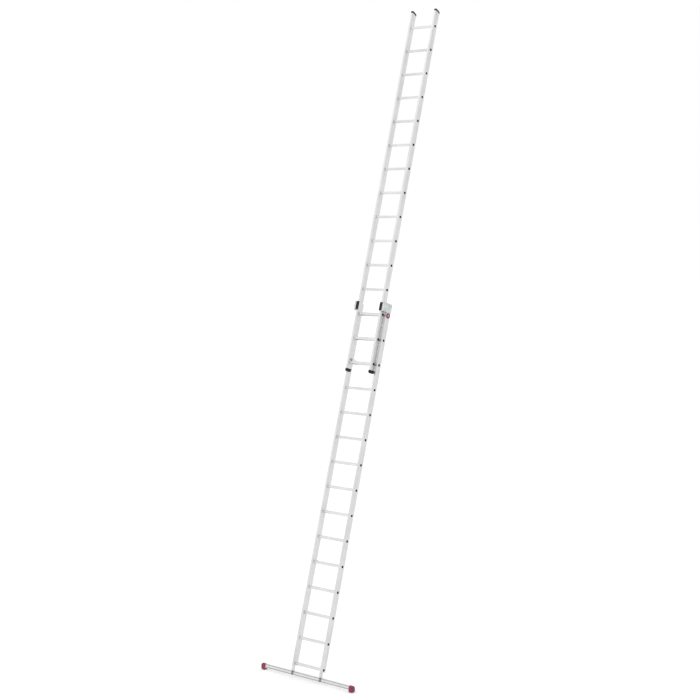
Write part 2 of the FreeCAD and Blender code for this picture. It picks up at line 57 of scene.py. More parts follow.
# The ladder leans back by this angle. Its own axes are x along the rungs, n through it towards the
# wall and r up the rails, all in metres, with n = r = 0 at the middle of the lowest rung.
joints = {joint["name"]: joint for joint in frame["record"]["behaviour"]["joints"]}
slideAxis = joints["upper_slide"]["axis"]
lean = math.atan2(slideAxis[1], slideAxis[2])
leanCos, leanSin = math.cos(lean), math.sin(lean)


# The ribs raise a rung's box by their height, so its middle is half of that lower.
def rungMiddle(name):
    low, high = np.array(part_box(name))
    return (low + high) / 2 - np.array([0, 0, rungLook["ribHeight"] / 2])


rungCount = sum(name.startswith("lower_rung_") for name in frame["nodes"])
lowestRung = rungMiddle("lower_rung_01")
topRung = rungMiddle(f"lower_rung_{rungCount:02d}")
rungPitch = float(np.linalg.norm(topRung - lowestRung)) / (rungCount - 1)


# From the frame's axes to x, n, r: the offset from the lowest rung, turned upright by the lean.
def toLadder(points):
    x, y, z = np.moveaxis(np.asarray(points, float) - lowestRung, -1, 0)
    return np.stack([x, y * leanCos - z * leanSin, y * leanSin + z * leanCos], axis=-1)


# The same turn the other way, then the move to the lowest rung.
def fromLadder(points):
    x, n, r = np.moveaxis(np.asarray(points, float), -1, 0)
    return np.stack([x, n * leanCos + r * leanSin, r * leanCos - n * leanSin], axis=-1) + lowestRung


# All corners of a CAD node that lie at x > 0, as x, n, r.
def rightHalf(name):
    mesh = frame["nodes"][name].data
    points = np.empty(len(mesh.vertices) * 3)
    mesh.vertices.foreach_get("co", points)
    points = toLadder(points.reshape(-1, 3))
    return points[points[:, 0] > 0]


def span(points):
    return points.min(axis=0), points.max(axis=0)


upperN, upperR = toLadder(rungMiddle("upper_rung_01"))[1:]


# Wraps a number socket of a finish, so that shader maths reads as an ordinary expression.
class Sum:
    def __init__(self, finish, socket):
        self.finish = finish
        self.socket = socket

    def join(self, operation, *values):
        made = self.finish.node("ShaderNodeMath", {"operation": operation}, dict(enumerate(values)))
        return Sum(self.finish, made.outputs[0])

    def __add__(self, other):
        return self.join("ADD", self, other)

    def __radd__(self, other):
        return self.join("ADD", other, self)

    def __sub__(self, other):
        return self.join("SUBTRACT", self, other)

    def __rsub__(self, other):
        return self.join("SUBTRACT", other, self)

    def __mul__(self, other):
        return self.join("MULTIPLY", self, other)

    def __rmul__(self, other):
        return self.join("MULTIPLY", other, self)

    def size(self):
        return self.join("ABSOLUTE", self)

    def root(self):
        return self.join("SQRT", self)

    def most(self, other):
        return self.join("MAXIMUM", self, other)

    def wrapped(self, low, high):
        return self.join("WRAP", self, high, low)

    # 0 up to low, 1 from high, smooth between.
    def ramp(self, low, high):
        sockets = {"Value": self, "From Min": low, "From Max": high}
        made = self.finish.node("ShaderNodeMapRange", {"interpolation_type": "SMOOTHSTEP"}, sockets)
        return Sum(self.finish, made.outputs["Result"])


# One material: its tree, its shader and short ways to add nodes to it.
class Finish:
    def __init__(self, name, constants):
        self.material = bpy.data.materials.new(name)
        self.material.use_nodes = True
        self.tree = self.material.node_tree
        self.shader = self.tree.nodes["Principled BSDF"]
        for socket, value in constants.items():
            self.wear(socket, value)

    # Adds a node: its settings first, then a value or a link for each socket, by name or number.
    def node(self, kind, settings, sockets):
        made = self.tree.nodes.new(kind)
        for key, value in settings.items():
            setattr(made, key, value)
        for key, value in sockets.items():
            self.feed(made.inputs[key], value)
        return made

    def feed(self, socket, value):
        source = value.socket if isinstance(value, Sum) else value
        if isinstance(source, bpy.types.NodeSocket):
            self.tree.links.new(source, socket)
        elif socket.type == "RGBA":
            socket.default_value = (*source, 1.0)
        else:
            socket.default_value = source

    # Feeds one socket of the shader.
    def wear(self, socket, value):
        self.feed(self.shader.inputs[socket], value)

    # Object coordinates, turned and moved by a Mapping node.
    def place(self, turn=(0, 0, 0), shift=(0, 0, 0)):
        source = self.node("ShaderNodeTexCoord", {}, {}).outputs["Object"]
        sockets = {"Vector": source, "Location": shift, "Rotation": turn}
        return self.node("ShaderNodeMapping", {}, sockets).outputs["Vector"]

    # x, n and r of each point, from the lowest rung's middle.
    def ladderPlace(self):
        return self.place(turn=(lean, 0, 0), shift=tuple(toLadder((0, 0, 0))))

    def noise(self, vector, scale, detail=3.0, roughness=0.55):
        sockets = {"Vector": vector, "Scale": scale, "Detail": detail, "Roughness": roughness}
        return Sum(self, self.node("ShaderNodeTexNoise", {}, sockets).outputs["Fac"])

    def stretched(self, vector, by):
        made = self.node("ShaderNodeVectorMath", {"operation": "MULTIPLY"}, {0: vector, 1: by})
        return made.outputs["Vector"]

    def parts(self, vector):
        made = self.node("ShaderNodeSeparateXYZ", {}, {"Vector": vector})
        return [Sum(self, made.outputs[axis]) for axis in "XYZ"]

    # Sockets 0, 6 and 7 of a colour Mix node are its factor and its two colours.
    def colourMix(self, factor, first, second):
        made = self.node("ShaderNodeMix", {"data_type": "RGBA"}, {0: factor, 6: first, 7: second})
        return made.outputs[2]

    def bump(self, height, strength, distance):
        sockets = {"Height": height, "Strength": strength, "Distance": distance}
        self.wear("Normal", self.node("ShaderNodeBump", {}, sockets).outputs["Normal"])


def grey(tone):
    return (tone, tone, tone)


aluminiumLook = {
    "upperPale": grey(0.76), "upperDark": grey(0.60),
    "lowerPale": grey(0.76), "lowerDark": grey(0.60),
    "rungPale": grey(0.80), "rungDark": grey(0.64),
    # The groove colour is painted shade in the bar's grooves and hollow.
    "barPale": grey(0.77), "barDark": grey(0.62), "grooveShadeColour": grey(0.20),
    # The inside colour is painted shade on the wall inside the rungs.
    "insideShadeColour": (0.045, 0.045, 0.048), "rubbedColour": grey(0.95), "scuffColour": grey(0.93),
    "railRough": 0.42, "rungRough": 0.38, "barRough": 0.40,
    "lineScale": 900.0,      # die lines across the section, per metre
    "lineRun": 1.2,          # how often a die line changes along the length, per metre
    "broader": 9.0,          # how much wider the broad lines are than the fine ones
    "cloudScale": 5.0, "grainScale": 1400.0,
    "railScuffs": (30.0, 30.0, 420.0), "crossScuffs": (420.0, 60.0, 30.0),    # per metre
    "scuffFrom": 0.66, "scuffTo": 0.74, "scuffShare": 0.20,
    "bumpStrength": 0.22, "bumpHeight": 0.0004,
}


# Extruded aluminium: fine die lines that run the whole length, broad ones, cloudy tarnish and small
# scuffs. The noises are stretched along the extrusion, which runs up the rail or across it.
def extrudedFinish(name, alongRail, pale, dark, rough):
    look = aluminiumLook
    made = Finish(name, {"Metallic": 1.0})
    spot = made.ladderPlace()
    lines, run, broader = look["lineScale"], look["lineRun"], look["broader"]
    fineBy, broadBy = (lines, lines, run), (lines / broader, lines / broader, run / 2)
    scuffBy = look["railScuffs"]
    if not alongRail:
        fineBy, broadBy, scuffBy = fineBy[::-1], broadBy[::-1], look["crossScuffs"]
    dieLines = made.noise(made.stretched(spot, fineBy), 1.0, detail=2.0)
    broadLines = made.noise(made.stretched(spot, broadBy), 1.0, detail=1.0)
    cloud = made.noise(spot, look["cloudScale"], detail=4.0, roughness=0.6)
    scuffNoise = made.noise(made.stretched(spot, scuffBy), 1.0, detail=2.0)
    scuffs = scuffNoise.ramp(look["scuffFrom"], look["scuffTo"])
    grain = made.noise(spot, look["grainScale"], detail=1.0)
    tone = (dieLines * 0.35 + broadLines * 0.3 + cloud * 0.35).ramp(0.34, 0.66)
    base = made.colourMix(tone, dark, pale)
    base = made.colourMix(scuffs * look["scuffShare"], base, look["scuffColour"])
    made.wear("Roughness", rough + (cloud - 0.5) * 0.22 + (dieLines - 0.5) * 0.14 + scuffs * 0.08)
    made.bump(dieLines * 0.7 + grain * 0.3 + scuffs * 0.2, look["bumpStrength"], look["bumpHeight"])
    return made, spot, base


def railFinish(name, section):
    look = aluminiumLook
    pale, dark = look[f"{section}Pale"], look[f"{section}Dark"]
    made, _, base = extrudedFinish(name, True, pale, dark, look["railRough"])
    made.wear("Base Color", base)
    return made


# Bar aluminium. The grooves and the inside are painted dark and dull, as shade: both lie deeper than the
# bar's outer faces, measured in n, and between its top and bottom, measured in r.
def barFinish():
    look = aluminiumLook
    pale, dark = look["barPale"], look["barDark"]
    made, spot, base = extrudedFinish("barAluminium", False, pale, dark, look["barRough"])
    low, high = span(rightHalf("stabiliser_bar"))
    _, n, r = made.parts(spot)
    depth = (high[1] - low[1]) / 2 - (n - (low[1] + high[1]) / 2).size()
    within = (high[2] - low[2]) / 2 - (r - (low[2] + high[2]) / 2).size()
    # painted shade: dark and dull in the grooves and inside the bar
    sunk = depth.ramp(0.0004, 0.0010) * within.ramp(0.0010, 0.0020)
    made.wear("Base Color", made.colourMix(sunk, base, look["grooveShadeColour"]))
    made.wear("Metallic", 1.0 - sunk * 0.7)
    return made


# Rung aluminium. The wall inside the rung is painted dark and dull, as shade, and the ribs on the tread are
# rubbed bright. The depth under the rounded outside is the corner's radius less the distance from the
# corner's middle, and r is wrapped by the rung pitch, so that one finish does for all rungs.
def rungFinish(name, middleN, middleR):
    look = aluminiumLook
    made, spot, base = extrudedFinish(name, False, look["rungPale"], look["rungDark"], look["rungRough"])
    _, n, r = made.parts(spot)
    n = n - middleN
    r = (r - middleR).wrapped(-rungPitch / 2, rungPitch / 2)
    level = n * leanCos + r * leanSin
    height = r * leanCos - n * leanSin
    across = (level.size() - (rungLook["halfDepth"] - rungLook["corner"])).most(0.0)
    upward = (height.size() - (rungLook["halfHeight"] - rungLook["corner"])).most(0.0)
    depth = rungLook["corner"] - (across * across + upward * upward).root()
    # painted shade on the wall inside the rung
    insideShade = depth.ramp(rungLook["insideShadeFrom"], rungLook["insideShadeTo"])
    rubbed = height.ramp(rungLook["rubbedFrom"], rungLook["rubbedTo"])
    base = made.colourMix(rubbed * rungLook["rubbedShare"], base, look["rubbedColour"])
    made.wear("Base Color", made.colourMix(insideShade, base, look["insideShadeColour"]))
    made.wear("Metallic", 1.0 - insideShade * 0.8)
    return made


castLook = {
    "pale": grey(0.76), "dark": grey(0.58), "metallic": 0.9, "rough": 0.42,
    "pitScale": 900.0, "cloudScale": 35.0, "bumpStrength": 0.35, "bumpHeight": 0.0005,
}


# Tumbled aluminium casting: a fine pitted skin with soft grey clouds.
def castFinish():
    look = castLook
    made = Finish("bracketCasting", {"Metallic": look["metallic"]})
    spot = made.place()
    pits = made.noise(spot, look["pitScale"], detail=4.0, roughness=0.7)
    cloud = made.noise(spot, look["cloudScale"])
    tone = (cloud * 0.6 + pits * 0.4).ramp(0.35, 0.65)
    made.wear("Base Color", made.colourMix(tone, look["dark"], look["pale"]))
    made.wear("Roughness", look["rough"] + (cloud - 0.5) * 0.25)
    made.bump(pits, look["bumpStrength"], look["bumpHeight"])
    return made


plateLook = {
    "pale": (0.66, 0.70, 0.68), "dark": (0.47, 0.51, 0.49), "metallic": 0.75, "rough": 0.36,
    "crystalScale": 90.0, "cloudScale": 22.0, "rubs": (300.0, 300.0, 12.0),    # per metre
    "bumpStrength": 0.12, "bumpHeight": 0.0004,
}


# Zinc-coated plate, slightly green-grey: overlapping crystal spangles and faint rub marks.
def plateFinish():
    look = plateLook
    made = Finish("guidePlate", {"Metallic": look["metallic"]})
    spot = made.place()
    sockets = {"Vector": spot, "Scale": look["crystalScale"]}
    cells = made.node("ShaderNodeTexVoronoi", {"feature": "F1"}, sockets)
    crystals = made.parts(cells.outputs["Color"])[0]
    cloud = made.noise(spot, look["cloudScale"], detail=4.0)
    rubs = made.noise(made.stretched(spot, look["rubs"]), 1.0, detail=2.0)
    tone = (crystals * 0.22 + cloud * 0.78).ramp(0.25, 0.75)
    made.wear("Base Color", made.colourMix(tone, look["dark"], look["pale"]))
    made.wear("Roughness", look["rough"] + crystals * 0.10 + (rubs - 0.5) * 0.2)
    made.bump(crystals * 0.3 + rubs * 0.7, look["bumpStrength"], look["bumpHeight"])
    return made


steelLook = {
    "hookSteel": {"pale": (0.80, 0.80, 0.79), "dark": (0.66, 0.66, 0.65), "rough": 0.34},
    "zincSteel": {"pale": (0.78, 0.78, 0.76), "dark": (0.58, 0.58, 0.57), "rough": 0.28},
    "rivetAluminium": {"pale": grey(0.85), "dark": grey(0.68), "rough": 0.30},
    "mottleScale": 160.0, "drawing": (2500.0, 300.0, 300.0),    # per metre
    "bumpStrength": 0.15, "bumpHeight": 0.0003,
}


# Plated or bright metal: mottled plating with fine drawing marks.
def steelFinish(name):
    look = steelLook
    own = look[name]
    made = Finish(name, {"Metallic": 1.0})
    spot = made.place()
    mottle = made.noise(spot, look["mottleScale"], detail=4.0, roughness=0.65)
    marks = made.noise(made.stretched(spot, look["drawing"]), 1.0, detail=1.0)
    made.wear("Base Color", made.colourMix(mottle.ramp(0.3, 0.7), own["dark"], own["pale"]))
    made.wear("Roughness", own["rough"] + (mottle - 0.5) * 0.25 + (marks - 0.5) * 0.1)
    made.bump(marks * 0.6 + mottle * 0.4, look["bumpStrength"], look["bumpHeight"])
    return made


plasticLook = {
    "redPlastic": {"pale": (0.34, 0.014, 0.066), "dark": (0.24, 0.010, 0.047), "rough": 0.42,
                   "grain": 0.25, "coat": 0.15, "shine": 0.5},
    "blackPlastic": {"pale": (0.014, 0.014, 0.015), "dark": (0.007, 0.007, 0.008), "rough": 0.50,
                     "grain": 0.35, "coat": 0.0, "shine": 0.28},
    "greyPlastic": {"pale": (0.21, 0.215, 0.215), "dark": (0.14, 0.145, 0.145), "rough": 0.50,
                    "grain": 0.30, "coat": 0.0, "shine": 0.5},
    "badgeRed": {"pale": (0.27, 0.012, 0.054), "dark": (0.21, 0.010, 0.041), "rough": 0.30,
                 "grain": 0.05, "coat": 0.4, "shine": 0.5},
    "badgePale": {"pale": (0.72, 0.70, 0.70), "dark": (0.62, 0.60, 0.60), "rough": 0.30,
                  "grain": 0.05, "coat": 0.4, "shine": 0.5},
    "coatRoughness": 0.25, "pebbleScale": 1100.0, "shadeScale": 28.0, "bumpHeight": 0.0004,
    "handling": (70.0, 420.0, 70.0),                   # dull marks, per metre
    "markFrom": 0.62, "markTo": 0.72, "markShare": 0.14,
    "dust": 0.45, "dustShare": 0.4,                    # a mark's colour is this far towards dust
    "paintedEndShade": (0.125, 0.009, 0.029), "endShadeScale": 45.0,  # painted shade on the end caps' outer ends and soles
    "endFrom": 0.022, "endTo": 0.004, "soleTall": 0.035,
}


# Moulded plastic: a pebbled grain, slow shade changes and a few dull handling marks.
def plasticBody(name):
    look = plasticLook
    own = look[name]
    made = Finish(name, {"Coat Weight": own["coat"], "Coat Roughness": look["coatRoughness"],
                         "Specular IOR Level": own["shine"]})
    spot = made.place()
    sockets = {"Vector": spot, "Scale": look["pebbleScale"]}
    pebble = made.node("ShaderNodeTexVoronoi", {"feature": "SMOOTH_F1"}, sockets)
    grain = Sum(made, pebble.outputs["Distance"])
    shade = made.noise(spot, look["shadeScale"], detail=4.0)
    handling = made.noise(made.stretched(spot, look["handling"]), 1.0)
    marks = handling.ramp(look["markFrom"], look["markTo"])
    base = made.colourMix((shade * 0.75 + grain * 0.25).ramp(0.3, 0.7), own["dark"], own["pale"])
    dusty = tuple(tone + (look["dust"] - tone) * look["dustShare"] for tone in own["pale"])
    base = made.colourMix(marks * look["markShare"], base, dusty)
    made.wear("Roughness", own["rough"] + (shade - 0.5) * 0.2 + marks * 0.12)
    made.bump(grain, own["grain"], look["bumpHeight"])
    return made, spot, base


def plasticFinish(name):
    made, _, base = plasticBody(name)
    made.wear("Base Color", base)
    return made


# Red plastic that is painted darker, as shade, in patches, towards the outer end and the sole.
def endCapFinish():
    look = plasticLook
    made, spot, base = plasticBody("redPlastic")
    low, high = np.array(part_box("bar_end_cap_right"))
    x, _, z = made.parts(spot)
    outward = x.size().ramp(high[0] - look["endFrom"], high[0] - look["endTo"])
    downward = 1.0 - z.ramp(low[2], low[2] + look["soleTall"])
    patches = made.noise(spot, look["endShadeScale"], detail=4.0).ramp(0.30, 0.70)
    # painted shade towards the outer end and the bottom
    paintedEndShade = outward.most(downward) * (0.55 + patches * 0.35)
    made.wear("Base Color", made.colourMix(paintedEndShade, base, look["paintedEndShade"]))
    return made


print("making the finishes")
lowerRailAluminium = railFinish("lowerRailAluminium", "lower")
upperRailAluminium = railFinish("upperRailAluminium", "upper")
barAluminium = barFinish()
lowerRungAluminium = rungFinish("lowerRungAluminium", 0.0, 0.0)
upperRungAluminium = rungFinish("upperRungAluminium", upperN, upperR)
bracketCasting = castFinish()
guidePlate = plateFinish()
hookSteel = steelFinish("hookSteel")
zincSteel = steelFinish("zincSteel")
rivetAluminium = steelFinish("rivetAluminium")
redPlastic = endCapFinish()
blackPlastic = plasticFinish("blackPlastic")
greyPlastic = plasticFinish("greyPlastic")
badgeRed = plasticFinish("badgeRed")
badgePale = plasticFinish("badgePale")


# A closed skin through rings of points, an array (rings, around, 3). The first and last ring are
# closed by a fan to their middle or to the given poles, or joined to each other if it wraps.
# Its signed volume, the sum of a . (b x c) over its triangles, tells which way its faces must run.
def skin(rings, wraps=False, poles=None):
    count, around = rings.shape[:2]
    points = rings.reshape(-1, 3)
    step, turn = np.meshgrid(np.arange(count if wraps else count - 1), np.arange(around), indexing="ij")
    ahead, onward = (step + 1) % count, (turn + 1) % around
    corners = [step * around + turn, step * around + onward, ahead * around + onward, ahead * around + turn]
    quads = np.stack(corners, axis=-1).reshape(-1, 4)
    fans = np.empty((0, 3), int)
    if not wraps:
        ends = rings[[0, -1]].mean(axis=1) if poles is None else np.asarray(poles)
        points = np.concatenate([points, ends])
        turn = np.arange(around)
        onward, last = (turn + 1) % around, (count - 1) * around
        fans = np.concatenate([
            np.stack([np.full(around, count * around), onward, turn], axis=-1),
            np.stack([np.full(around, count * around + 1), last + turn, last + onward], axis=-1),
        ])
    triangles = np.concatenate([quads[:, [0, 1, 2]], quads[:, [0, 2, 3]], fans])
    a, b, c = points[triangles].transpose(1, 0, 2)
    if (a * np.cross(b, c)).sum() < 0:
        quads, fans = quads[:, ::-1], fans[:, ::-1]
    return points, quads, fans


# One round of a rectangle with rounded corners, as (a, b): a corner's middle plus its radius times
# (cos, sin) of the angle. The radii go round from the (+, +) corner.
def roundedRing(halfA, halfB, radii, steps=9):
    angle = (np.arange(4)[:, None] * np.pi / 2 + np.linspace(0, np.pi / 2, steps)).ravel()
    signA, signB = np.repeat([1, -1, -1, 1], steps), np.repeat([1, 1, -1, -1], steps)
    radius = np.repeat(radii, steps)
    return np.stack([signA * (halfA - radius) + radius * np.cos(angle),
                     signB * (halfB - radius) + radius * np.sin(angle)], axis=-1)


# The same round with its points spread evenly along its length.
def evenRing(ring, count):
    closed = np.concatenate([ring, ring[:1]])
    length = np.concatenate([[0], np.cumsum(np.linalg.norm(np.diff(closed, axis=0), axis=1))])
    at = np.linspace(0, length[-1], count, endpoint=False)
    return np.stack([np.interp(at, length, closed[:, 0]), np.interp(at, length, closed[:, 1])], axis=-1)


# A turned or hexagonal part: a profile of (distance along the axis, radius), where a hexagon's
# radius at an angle is its half width over flats divided by the cosine of the angle to the flat.
def turnedSkin(profile, middle, along, acrossFlats=None, around=48, wraps=False):
    distance, radius = np.asarray(profile, float).T
    angle = np.linspace(0, 2 * np.pi, around, endpoint=False)
    radius = np.repeat(radius[:, None], around, axis=1)
    if acrossFlats:
        flat = (angle + np.pi / 6) % (np.pi / 3) - np.pi / 6
        radius = np.minimum(radius, acrossFlats / 2 / np.cos(flat))
    first, second = radius * np.cos(angle), radius * np.sin(angle)
    axial = np.repeat(distance[:, None], around, axis=1)
    rings = {"x": (axial, first, second), "n": (first, axial, second)}[along]
    rings = np.stack(rings, axis=-1) + np.asarray(middle)
    poles = None if wraps else [rings[0].mean(axis=0), rings[-1].mean(axis=0)]
    return skin(rings, wraps, poles)


# The image at -x, with its faces run the other way round, so that they still look outwards.
def mirrored(part):
    points, quads, fans = part
    return points * np.array([-1, 1, 1]), quads[:, ::-1], fans[:, ::-1]


def bothSides(parts):
    return parts + [mirrored(part) for part in parts]


# Joins skins, given as x, n, r, into one object at the origin. Faces that meet at more than
# crease degrees keep a sharp edge.
def makePiece(name, parts, finishes, body, slot, replaced, crease=32, finishOf=None):
    points = fromLadder(np.concatenate([part[0] for part in parts]))
    starts = np.cumsum([0] + [len(part[0]) for part in parts])
    faces = []
    for start, (_, quads, fans) in zip(starts, parts):
        faces += (quads + start).tolist() + (fans + start).tolist()
    mesh = bpy.data.meshes.new(name)
    mesh.from_pydata(points.tolist(), [], faces)
    mesh.validate()
    mesh.shade_smooth()
    mesh.set_sharp_from_angle(angle=math.radians(crease))
    for finish in finishes:
        mesh.materials.append(finish.material)
    if finishOf:
        counts = [len(quads) + len(fans) for _, quads, fans in parts]
        mesh.polygons.foreach_set("material_index", np.repeat(finishOf, counts).astype(np.int32))
    piece = bpy.data.objects.new(name, mesh)
    bpy.context.scene.collection.objects.link(piece)
    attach(piece, body)
    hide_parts(*replaced)


# The right-hand piece and its mirror image on the left.
def makePair(name, parts, finishes, body, slot, node, **more):
    makePiece(f"{name}Right", parts, finishes, body, slot, [f"{node}_right"], **more)
    turned = [mirrored(part) for part in parts]
    makePiece(f"{name}Left", turned, finishes, body, slot, [f"{node}_left"], **more)


# Insets and distances of a quarter-round edge: radius * (1 - cos) inwards over radius * sin along.
def quarterRound(radius, steps=7):
    angle = np.linspace(0, np.pi / 2, steps)
    return radius * (1 - np.cos(angle)), radius * np.sin(angle)


# End caps of the stabiliser bar
endCapLook = {
    "topCorner": 0.028, "soleCorner": 0.020, "leastCorner": 0.003, "endRound": 0.014,
    "points": 260, "endSteps": 12,
    "rowStep": 0.00055, "rowGap": 0.001,                       # rows of points along the body
    "collar": 0.0055, "collarStep": 0.0012,                    # raised band where the bar goes in
    "collarRound": 0.0008, "collarLead": 0.0007, "collarEdge": 0.0005,
    "bands": 3, "bandPitch": 0.0075, "bandDepth": 0.0013,      # grooves round the body
    "bandStart": 0.0055, "bandSharpness": 1.8,
    "treads": 5, "treadPitch": 0.0072, "treadWidth": 0.0030, "treadDepth": 0.0024,
    "treadFade": 0.003,                                        # how far up the end round the treads go
    "soleBand": 0.0006,                                        # what counts as the sole, above its lowest
    "closing": ((0.97, 0), (0.80, 0.0002), (0.76, 0.0012), (0.3, 0.0012)),    # share of the face, dish
    "wall": 0.0006, "pocketCorner": 0.003,                     # looseness round the bar
}


# Rounds of a rounded rectangle, level with the floor, along the bar. Each is the outside shrunk by
# an inset: a step behind the collar, cosine grooves round the body, and a quarter round at the end.
def endCapSkin():
    look = endCapLook
    low, high = np.array(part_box("bar_end_cap_right"))
    half = (high - low) / 2
    middle = (high + low) / 2
    barLow, barHigh = span(rightHalf("stabiliser_bar"))
    inner, outer = low[0], high[0]
    collarEnd, roundStart = inner + look["collar"], outer - look["endRound"]
    x = np.arange(collarEnd + look["rowGap"], roundStart, look["rowStep"])
    fromFirst = (x - collarEnd - look["bandStart"]) / look["bandPitch"]
    phase = np.clip(fromFirst, -0.5, look["bands"] - 0.5)
    sharpness = look["bandSharpness"]
    wave = np.cos(2 * np.pi * phase) * sharpness - (sharpness - 1)
    bands = look["bandDepth"] * np.clip(wave, 0, 1)
    roundIn, roundAlong = quarterRound(look["endRound"], look["endSteps"])
    collar = [inner, inner + look["collarLead"], collarEnd - look["collarEdge"], collarEnd]
    x = np.concatenate([collar, x, roundStart + roundAlong])
    step = look["collarStep"]
    inset = np.concatenate([[look["collarRound"], 0, 0, step], step + bands, step + roundIn])
    corners = np.array([look["topCorner"], look["topCorner"], look["soleCorner"], look["soleCorner"]])
    outline = []
    for shrink in inset:
        radii = np.maximum(corners - shrink, look["leastCorner"])
        outline.append(evenRing(roundedRing(half[1] - shrink, half[2] - shrink, radii), look["points"]))
    outline = np.array(outline)
    level, height = outline[..., 0], outline[..., 1]
    inset = inset[:, None]
    treadWave = np.abs(np.mod(level / look["treadPitch"] + 0.5, 1) - 0.5) * look["treadPitch"]
    onTread = (treadWave < look["treadWidth"] / 2)
    onTread &= np.abs(level) < look["treads"] * look["treadPitch"] / 2
    onTread &= (height < look["soleBand"] - half[2] + inset) & (inset < step + look["treadFade"])
    height = height + look["treadDepth"] * onTread
    rings = np.stack([np.repeat(x[:, None], look["points"], axis=1), level, height], axis=-1)
    face = rings[-1] * np.array([0, 1, 1])
    closing = [face * scale + np.array([outer - dish, 0, 0]) for scale, dish in look["closing"]]
    # the pocket follows the bar, which leans with the ladder
    barHalf = (barHigh - barLow) / 2 + look["wall"]
    pocket = roundedRing(barHalf[1], barHalf[2], [look["pocketCorner"]] * 4)
    n, r = evenRing(pocket, look["points"]).T
    mouth = [np.full_like(n, inner), n * leanCos + r * leanSin, r * leanCos - n * leanSin]
    mouth = np.stack(mouth, axis=-1)
    floor = mouth + np.array([barHigh[0] - inner, 0, 0])
    rings = np.concatenate([[floor], [mouth], rings, closing])
    rings[..., 1:] += middle[1:]
    barMiddle = fromLadder([0, *((barHigh + barLow) / 2)[1:]])
    rings[:2, :, 1:] += barMiddle[1:] - middle[1:]
    return skin(toLadder(rings))


makePair("redEndCap", [endCapSkin()], [redPlastic], "lower_section", "red_plastic", "bar_end_cap")
print("end caps made")


# Rubber shoes under the upper rails
shoeLook = {
    "soleRound": 0.017, "sideRound": 0.008, "corner": 0.005, "points": 160, "soleSteps": 14,
    "rowStep": 0.0006, "topRound": 0.0018,
    "ribs": 4, "ribPitch": 0.0055, "ribDepth": 0.0011, "ribStart": 0.004,
    "socketLoose": 0.0001, "socketCorner": 0.003,
}


# Rounds of a rounded rectangle up the rail. Near the sole the round shrinks by a quarter circle,
# more at the front and back than at the sides; up the sleeve a cosine makes shallow ribs.
def shoeSkin():
    look = shoeLook
    low, high = span(rightHalf("upper_foot_right"))
    half, middle = (high - low) / 2, (high + low) / 2
    railLow, railHigh = span(rightHalf("upper_rail_right"))
    railHalf = (railHigh - railLow) / 2
    angle = np.linspace(np.pi / 2, 0, look["soleSteps"])
    soleEnd, topStart = low[2] + look["soleRound"], high[2] - look["topRound"]
    sleeve = np.arange(soleEnd + look["rowStep"], topStart, look["rowStep"])
    around = look["soleRound"] * (1 - np.cos(angle))
    sideways = look["sideRound"] * (1 - np.cos(angle))
    phase = (high[2] - look["ribStart"] - sleeve) / look["ribPitch"]
    ribs = look["ribDepth"] * np.clip(np.cos(2 * np.pi * (phase - 0.5)), 0, 1)
    ribs = ribs * (phase < look["ribs"]) * (phase > 0)
    topIn, topUp = quarterRound(look["topRound"], 6)
    r = np.concatenate([low[2] + look["soleRound"] * (1 - np.sin(angle)), sleeve, topStart + topUp])
    insetN = np.concatenate([around, ribs, topIn])
    insetX = np.concatenate([sideways, ribs, topIn])
    ring = evenRing(roundedRing(half[0], half[1], [look["corner"]] * 4), look["points"])
    scale = np.stack([1 - insetX / half[0], 1 - insetN / half[1]], axis=-1)
    outline = ring * scale[:, None, :]
    rings = np.concatenate([outline, np.repeat(r[:, None, None], look["points"], axis=1)], axis=-1)
    rings[..., :2] += middle[:2]
    socket = railHalf[:2] + look["socketLoose"]
    socket = evenRing(roundedRing(*socket, [look["socketCorner"]] * 4), look["points"])
    socket = socket + ((railHigh + railLow) / 2)[:2]
    mouth = np.concatenate([socket, np.full((look["points"], 1), high[2])], axis=-1)
    seat = np.concatenate([socket, np.full((look["points"], 1), railLow[2])], axis=-1)
    return skin(np.concatenate([rings, [mouth], [seat]]))


makePair("rubberShoe", [shoeSkin()], [blackPlastic], "upper_section", "black_plastic", "upper_foot")
print("shoes made")


# Caps on top of the upper rails
topCapLook = {
    "edgeRound": 0.004, "underRound": 0.0006, "rows": 40,
    "grooves": 5, "groovePitch": 0.010, "grooveWidth": 0.0034, "grooveDepth": 0.0012, "grooveWall": 0.0003,
    "slope": (0.0066, 0.275, 2.75),    # the rail's end line falls by a + b n + c n * n from its front
    "plugLow": 0.042, "plugCorner": 0.001, "plugRise": 0.25, "railWall": 0.0021,
}


# The end line of a rail: r falls by a + b n + c n * n.
def endLine(top, n):
    a, b, c = topCapLook["slope"]
    return top - (a + b * n + c * n ** 2)


